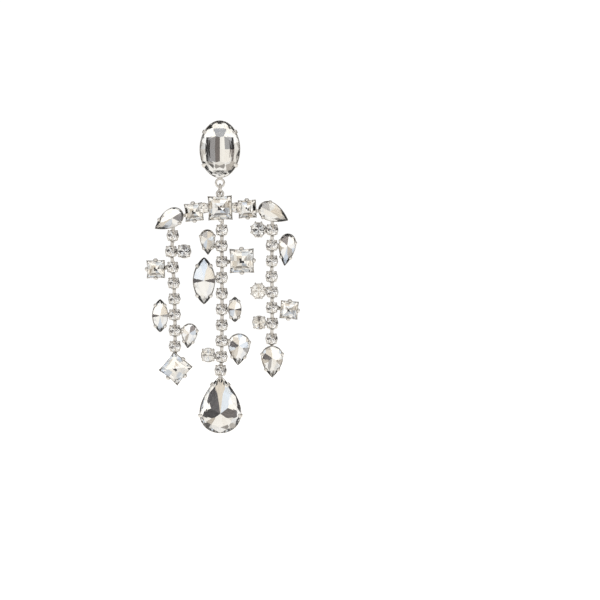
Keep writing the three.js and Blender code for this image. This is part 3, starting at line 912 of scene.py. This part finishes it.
# What repeats is set on a list of seats by one Geometry Nodes tree.
def seatTree():
    tree = bpy.data.node_groups.new("set pieces on seats", "GeometryNodeTree")
    inputs = [
        ("Seats", "NodeSocketGeometry"), ("Piece", "NodeSocketObject"),
        ("Front Finish", "NodeSocketMaterial"), ("Back Finish", "NodeSocketMaterial"),
        ("Spin Jitter", "NodeSocketFloat"), ("Tilt Jitter", "NodeSocketFloat"), ("Seed", "NodeSocketInt"),
    ]
    for name, kind in inputs:
        tree.interface.new_socket(name, in_out="INPUT", socket_type=kind)
    tree.interface.new_socket("Geometry", in_out="OUTPUT", socket_type="NodeSocketGeometry")
    given = addNode(tree, "NodeGroupInput").outputs
    vectors = {"data_type": "FLOAT_VECTOR"}
    facing = addNode(tree, "GeometryNodeInputNamedAttribute", vectors, {"Name": "facing"})
    size = addNode(tree, "GeometryNodeInputNamedAttribute", vectors, {"Name": "size"})
    dice = addNode(
        tree, "FunctionNodeRandomValue", vectors, {"Min": (-1, -1, -1), "Max": (1, 1, 1)},
        {"Seed": given["Seed"]},
    )
    spread = addNode(
        tree, "ShaderNodeCombineXYZ",
        links={"X": given["Tilt Jitter"], "Y": given["Spin Jitter"], "Z": given["Tilt Jitter"]},
    )
    wobble = addNode(
        tree, "ShaderNodeVectorMath", {"operation": "MULTIPLY"},
        links={0: dice.outputs["Value"], 1: spread.outputs[0]},
    )
    wobbleTurn = addNode(tree, "FunctionNodeEulerToRotation", links={0: wobble.outputs[0]})
    facingTurn = addNode(tree, "FunctionNodeEulerToRotation", links={0: facing.outputs["Attribute"]})
    turn = addNode(
        tree, "FunctionNodeRotateRotation", {"rotation_space": "LOCAL"},
        links={"Rotation": facingTurn.outputs[0], "Rotate By": wobbleTurn.outputs[0]},
    )
    shape = addNode(tree, "GeometryNodeObjectInfo", links={"Object": given["Piece"]})
    placed = addNode(
        tree, "GeometryNodeInstanceOnPoints",
        links={"Points": given["Seats"], "Instance": shape.outputs["Geometry"], "Rotation": turn.outputs[0],
               "Scale": size.outputs["Attribute"]},
    )
    solid = addNode(tree, "GeometryNodeRealizeInstances", links={"Geometry": placed.outputs[0]})
    foiled = addNode(tree, "GeometryNodeInputNamedAttribute", {"data_type": "BOOLEAN"}, {"Name": "foiled"})
    fronted = addNode(
        tree, "GeometryNodeSetMaterial",
        links={"Geometry": solid.outputs[0], "Material": given["Front Finish"]},
    )
    backed = addNode(
        tree, "GeometryNodeSetMaterial",
        links={"Geometry": fronted.outputs[0], "Selection": foiled.outputs["Attribute"],
               "Material": given["Back Finish"]},
    )
    addNode(tree, "NodeGroupOutput", links={"Geometry": backed.outputs[0]})
    return tree


seatNodes = seatTree()
socketId = {item.name: item.identifier for item in seatNodes.interface.items_tree if item.in_out == "INPUT"}


def setOnSeats(name, template, seats, finishes, spin=0.0, tilt=0.0, seed=7):
    # seats: (matrix in millimetres, size); finishes: one, or front and back; returns one plain object
    mesh = bpy.data.meshes.new(name)
    mesh.from_pydata([matrix.translation * mm for matrix, _ in seats], [], [])
    facing = mesh.attributes.new("facing", "FLOAT_VECTOR", "POINT")
    facing.data.foreach_set("vector", [c for matrix, _ in seats for c in matrix.to_euler()])
    size = mesh.attributes.new("size", "FLOAT_VECTOR", "POINT")
    size.data.foreach_set("vector", [c for _, sizes in seats for c in sizes])
    piece = newObject(name, mesh)
    modifier = piece.modifiers.new("seats", "NODES")
    modifier.node_group = seatNodes
    values = {"Piece": template, "Front Finish": finishes[0], "Back Finish": finishes[-1],
              "Spin Jitter": spin, "Tilt Jitter": tilt, "Seed": seed}
    for socket, value in values.items():
        modifier[socketId[socket]] = value
    evaluated = piece.evaluated_get(bpy.context.evaluated_depsgraph_get())
    solid = bpy.data.meshes.new_from_object(evaluated)
    piece.modifiers.remove(modifier)
    piece.data = solid
    bpy.data.meshes.remove(mesh)
    bpy.data.objects.remove(template)
    return piece


clawPlan = {"size": 1.05, "growth": 0.045, "mostWidth": 7, "broad": 1.1, "squareBroad": 1.3}


def clawSeats(jewel, plan=clawPlan):
    # one seat on the girdle for each claw, with its x along the outline's normal
    outline = outlines[jewel["cut"]["outline"]]
    size = plan["size"] + plan["growth"] * min(jewel["width"], plan["mostWidth"])
    broad = plan["squareBroad"] if jewel["cutName"] == "square" else plan["broad"]
    seats = []
    for degrees in jewel["claws"]:
        t = math.radians(degrees)
        u, v = outline(t)
        edge = Vector((u * jewel["width"] / 2, 0, v * jewel["length"] / 2))
        way = outlineNormal(jewel, t)
        facing = Matrix.Rotation(-math.atan2(way.z, way.x), 4, "Y")
        seats.append((jewel["seat"] @ Matrix.Translation(edge) @ facing, (size, size, size * broad)))
    return seats


def setClaws(name, body, rows, members):
    template = meshTemplate("claw", [(tubeAlong(rows), Matrix())], [rhodium], 50)
    piece = setOnSeats(name, template, [seat for jewel in members for seat in clawSeats(jewel)], [rhodium])
    finishPiece(piece, body)


setClaws("stud_claws", "stud", clawRows, [jewels["oval"]])
setClaws("drop_claws", "drop", clawRows, [jewels["centre_strand_pear_drop"]])
beaded = [jewel for jewel in jewels.values() if jewel["cutName"] in ("pear", "navette", "square")]
setClaws("bead_prongs", "drop", beadRows, beaded)
print("claws set")


# A stamped round cup; its wall is pressed in above and below at the rows where the links come through.
cupPlan = {
    "radius": 1.7, "wall": 0.27, "count": 32, "slotHalf": 20, "slotDeep": 0.3, "slotRows": (8, 9),
    "slimClaw": 0.7,  # how wide a claw is where there are more than four
}
crownedNodes = ("right_strand_round_top", "right_strand_round_middle")  # the two with eight claws


def cupShape(plan, claws):
    depth, radius = allCups[0]["depth"], plan["radius"]
    outside = radius + plan["wall"]
    profile = [
        (0.25, depth - 0.38), (radius - 0.25, 0.5), (radius, 0.16), (radius + 0.05, 0.02),
        (radius + 0.16, -0.02), (radius + 0.24, 0.08), (outside, 0.35), (outside, depth * 0.45),
        (outside, depth * 0.62), (outside, depth * 0.82), (radius + 0.2, depth * 0.93),
        (radius + 0.02, depth - 0.03), (radius - 0.25, depth),
    ]
    rings = []
    for row, (r, y) in enumerate(profile):
        ring = []
        for k in range(plan["count"]):
            angle = 2 * math.pi * k / plan["count"]
            fromSlot = abs(math.degrees(math.asin(math.sin(angle))))
            pressed = fromSlot < plan["slotHalf"] and row in plan["slotRows"]
            inset = r - (plan["slotDeep"] if pressed else 0)
            ring.append(Vector((inset * math.sin(angle), y, inset * math.cos(angle))))
        rings.append(ring)
    shapes = [(loftRings(rings), Matrix())]
    slim = Matrix.Diagonal((1, 1, plan["slimClaw"] if len(claws) > 4 else 1, 1))
    for degrees in claws:
        t = math.radians(degrees)
        edge = Matrix.Translation((math.sin(t) * radius, 0, math.cos(t) * radius))
        facing = Matrix.Rotation(-math.atan2(math.cos(t), math.sin(t)), 4, "Y")
        shapes.append((tubeAlong(cupClawRows), edge @ facing @ slim))
    return shapes


def setCups(name, claws, members):
    template = meshTemplate("cup", cupShape(cupPlan, claws), [rhodium], 40)
    width, depth = chainCup["width"], allCups[0]["depth"]
    seats = [(j["seat"], (j["width"] / width, j["depth"] / depth, j["width"] / width)) for j in members]
    finishPiece(setOnSeats(name, template, seats, [rhodium]), "drop")


crowned = [jewels[node] for node in crownedNodes]
rounds = [jewel for jewel in jewels.values() if jewel["cutName"] == "chaton" and jewel not in crowned]
setCups("chain_cups", cuts["chaton"]["claws"], allCups + rounds)
setCups("crown_cups", [22.5 + 45 * k for k in range(8)], crowned)


chainJitter = {"spin": math.radians(22), "tilt": math.radians(1.5), "seed": 11}


def chainStones(jitter):
    # the chain's stones are one cut, turned at random in their cups as a setter drops them in
    template = meshTemplate("chaton", [(cutStone(allCups[0], seed=5), Matrix())], [crystal, foil])
    foiled = template.data.attributes.new("foiled", "BOOLEAN", "FACE")
    foiled.data.foreach_set("value", [face.material_index == 1 for face in template.data.polygons])
    seats = [(j["seat"], (1, 1, 1)) for j in allCups]
    piece = setOnSeats("chain_crystals", template, seats, [crystal, foil], **jitter)
    finishPiece(piece, "drop", [j["node"] + "_stone" for j in allCups])


chainStones(chainJitter)
print("chains set")


# Flat links behind the cups; under is how far each end reaches in under its setting.
dropBack = jewels["arch_square_centre"]["at"].y + jewels["arch_square_centre"]["depth"]
linkPlan = {
    "width": 1.2, "thick": 0.5, "length": 3.0, "waist": 0.9, "corner": 0.09, "sunk": 0.26, "under": 0.7,
}
hangerPlan = {"behind": 0.7, "above": 0.8, "below": 0.75}  # the link from an arch stone to its strand


def linkShape(plan, length=None):
    # a flat link, a little waisted, with rolled edges
    half, thick, corner = plan["width"] / 2, plan["thick"] / 2, plan["corner"]
    rings = []
    for share in (-1, -0.8, -0.4, 0, 0.4, 0.8, 1):
        wide = half * (plan["waist"] + (1 - plan["waist"]) * abs(share))
        z = share * (length or plan["length"]) / 2
        flat, side = wide - corner, thick - corner
        outline = [
            (-flat, -thick), (flat, -thick), (wide, -side), (wide, side),
            (flat, thick), (-flat, thick), (-wide, side), (-wide, -side),
        ]
        rings.append([Vector((x, y, z)) for x, y in outline])
    return loftRings(rings)


def linkSeat(start, end, y, plan=linkPlan):
    # from start to end in the plane of the front, at depth y
    along = Vector((end.x - start.x, 0, end.z - start.z))
    middle = Vector(((start.x + end.x) / 2, y, (start.z + end.z) / 2))
    facing = Matrix.Rotation(math.atan2(along.x, along.z), 4, "Y")
    return Matrix.Translation(middle) @ facing, (1, 1, along.length / plan["length"])


def strapSeat(one, other):
    # a link behind two settings, from just inside one to just inside the other
    along = Vector((other["at"].x - one["at"].x, 0, other["at"].z - one["at"].z)).normalized()

    def end(jewel, sign):
        reach = jewel["width"] / 2 if abs(along.x) > abs(along.z) else jewel["length"] / 2
        return jewel["at"] + along * sign * (reach * jewel["cut"]["back"] - linkPlan["under"])

    return linkSeat(end(one, 1), end(other, -1), dropBack - linkPlan["sunk"] + linkPlan["thick"] / 2)


sideOf = {  # the cup that each side stone is soldered to, counted from the top
    "left_strand_round": 2, "left_strand_square": 3, "left_strand_navette": 6, "left_strand_pear": 7,
    "centre_strand_pear_small": 2, "centre_strand_square": 3, "centre_strand_navette_large": 4,
    "centre_strand_navette_small": 6, "centre_strand_pear": 8, "centre_strand_round": 9,
    "right_strand_round_top": 1, "right_strand_pear": 2, "right_strand_round_middle": 5,
    "right_strand_square": 6, "right_strand_round_low": 7,
}
endOf = {
    "left": "left_strand_square_drop", "centre": "centre_strand_pear_drop",
    "right": "right_strand_pear_drop",
}
hangsFrom = {"left": "arch_pear_left", "centre": "arch_square_centre", "right": "arch_pear_right"}


def strandLinks(strand):
    cups = chains[strand]
    seats = [strapSeat(a, b) for a, b in zip(cups, cups[1:])]
    seats.append(strapSeat(cups[-1], jewels[endOf[strand]]))
    sides = [(node, row) for node, row in sideOf.items() if node.startswith(strand)]
    seats += [strapSeat(cups[row - 1], jewels[node]) for node, row in sides]
    first = cups[0]["at"]
    start = Vector((first.x, 0, jewels[hangsFrom[strand]]["at"].z - hangerPlan["above"]))
    end = Vector((first.x, 0, first.z + hangerPlan["below"]))
    return seats + [linkSeat(start, end, dropBack + hangerPlan["behind"])]


linkSeats = [seat for strand in strandNames for seat in strandLinks(strand)]
linkSeats += [strapSeat(a, b) for a, b in zip(fancyOn("arch"), fancyOn("arch")[1:])]
linkTemplate = meshTemplate("link", [(linkShape(linkPlan), Matrix())], [rhodium], 40)
finishPiece(setOnSeats("links", linkTemplate, linkSeats, [rhodium]), "drop")

solderPlan = {
    "fromCup": 2.05, "inFront": 1.1, "sag": 0.15, "size": (0.55, 0.9, 0.75), "lumpy": 0.2, "seed": 3,
}


def solderSeats(plan):
    # one bead between each side stone and its cup
    seats = []
    for node, row in sideOf.items():
        cup = chains[node.split("_")[0]][row - 1]["at"]
        side = 1 if jewels[node]["at"].x > cup.x else -1
        place = (cup.x + side * plan["fromCup"], dropBack - plan["inFront"], cup.z - plan["sag"])
        seats.append((Matrix.Translation(place), plan["size"]))
    return seats


def solderShape(plan):
    shape = bmesh.new()
    bmesh.ops.create_icosphere(shape, subdivisions=2, radius=1.0)
    dice = Random(plan["seed"])
    for vert in shape.verts:
        vert.co *= 1 - plan["lumpy"] / 2 + plan["lumpy"] * dice.random()
    return shape


solderTemplate = meshTemplate("solder", [(solderShape(solderPlan), Matrix())], [solder], 80)
solderBeads = setOnSeats("solder_beads", solderTemplate, solderSeats(solderPlan), [solder])
finishPiece(solderBeads, "drop")


def settingGroup(name, body, members, extra=(), nodes=()):
    shapes = [(settingShell(j), j["seat"]) for j in members] + list(extra)
    piece = newObject(name, joinShapes(name, shapes, [rhodium], 35))
    finishPiece(piece, body, nodes)


def wireRing(radius, wire, matrix, gap=0.0, around=48, section=12):
    # a ring of round wire in the plane of the front; a gap in degrees leaves it cut, with flat ends
    closed = gap == 0
    rings = []
    for k in range(around if closed else around + 1):
        angle = math.radians(gap / 2 + (360 - gap) * k / around)
        outward = Vector((math.sin(angle), 0, math.cos(angle)))
        ring = []
        for j in range(section):
            turn = 2 * math.pi * j / section
            ring.append(outward * (radius + wire * math.cos(turn)) + Vector((0, wire * math.sin(turn), 0)))
        rings.append(ring)
    if closed:
        rings.append(rings[0])
    shape = loftRings(rings, closeEnds=not closed)
    bmesh.ops.remove_doubles(shape, verts=shape.verts, dist=1e-4)
    bmesh.ops.recalc_face_normals(shape, faces=shape.faces)
    return shape, matrix


# The jump ring fills its packed box, and two loops hang in it with a little air. It is turned by so many
# degrees from edge on, cut at cutAt radians with a gap in degrees, and a touch slimmer than the loops.
ringPlan = {"wire": 0.35, "turn": 12, "cutAt": 2.0, "gap": 3, "slim": 0.98}
loopPlan = {"stud": 1.3, "arch": 1.0, "air": 0.12, "neckLength": 1.6, "neckRise": 0.55}

ringLow, ringHigh = (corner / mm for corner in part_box("jump_ring"))
ringCentre = (ringLow + ringHigh) / 2
wire = ringPlan["wire"]
ringRadius = (ringHigh.z - ringLow.z) / 2 - wire
innerEdge = ringRadius - 2 * wire - loopPlan["air"]
studLoopCentre = Vector((0, ringCentre.y, ringCentre.z + innerEdge + loopPlan["stud"]))
archLoopCentre = Vector((0, ringCentre.y, ringCentre.z - innerEdge - loopPlan["arch"]))
studLoop = wireRing(loopPlan["stud"], wire, Matrix.Translation(studLoopCentre))
archLoop = wireRing(loopPlan["arch"], wire, Matrix.Translation(archLoopCentre))
neckPlace = studLoopCentre + up * (loopPlan["stud"] + loopPlan["neckRise"])
neck = (linkShape(linkPlan, loopPlan["neckLength"]), Matrix.Translation(neckPlace))

settingGroup("oval_basket", "stud", [jewels["oval"]], [studLoop, neck], ["oval_setting"])
settingGroup("arch_settings", "drop", fancyOn("arch"), [archLoop], ["arch_frame"])
for strand in strandNames:
    settingGroup(strand + "_strand_settings", "drop", fancyOn(strand), [], [strand + "_strand_frame"])

edgeOn = Matrix.Rotation(math.radians(90 + ringPlan["turn"]), 4, "Z")
ringPlace = Matrix.Translation(ringCentre) @ edgeOn @ Matrix.Rotation(ringPlan["cutAt"], 4, "Y")
jumpRing = wireRing(ringRadius, wire * ringPlan["slim"], ringPlace, gap=ringPlan["gap"])
jumpRingWire = newObject("jump_ring_wire", joinShapes("jump_ring_wire", [jumpRing], [rhodium], 40))
finishPiece(jumpRingWire, "link", ["jump_ring"])


postPlan = {
    "padRadius": 2.6, "padThick": 0.8, "padEdge": 0.2, "radius": 0.42, "length": 10.998, "groove": 8.6,
    "count": 48,
}


def earPost(plan):
    # turned round its own axis: a pad with rolled edges, a solder fillet, a grooved pin and a domed tip
    pad, thick, edge = plan["padRadius"], plan["padThick"], plan["padEdge"]
    r, groove, tip = plan["radius"], plan["groove"], plan["length"]
    profile = [  # radius and place along the axis
        (0, -thick), (pad - edge, -thick), (pad - 0.06, -thick + 0.06), (pad, -thick + edge),
        (pad, -edge), (pad - 0.06, -0.06), (pad - edge, 0),
        (r + 0.5, 0), (r + 0.2, 0.08), (r + 0.05, 0.3), (r, 0.7),
        (r, groove - 0.35), (r - 0.1, groove - 0.18), (r - 0.1, groove + 0.18), (r, groove + 0.35),
        (r, tip - 0.4), (r - 0.12, tip - 0.12), (r - 0.3, tip - 0.01), (0, tip),
    ]
    turns = [2 * math.pi * k / plan["count"] for k in range(plan["count"])]
    rings = []
    for radius, y in profile:
        wide = max(radius, 1e-4)
        rings.append([Vector((wide * math.sin(t), y, wide * math.cos(t))) for t in turns])
    shape = loftRings(rings)
    bmesh.ops.remove_doubles(shape, verts=shape.verts, dist=1e-3)
    bmesh.ops.recalc_face_normals(shape, faces=shape.faces)
    return shape


post = newObject("ear_post_pin", joinShapes("ear_post_pin", [(earPost(postPlan), Matrix())], [rhodium], 35))
finishPiece(post, "stud", ["ear_post"])
print("metalwork ready")
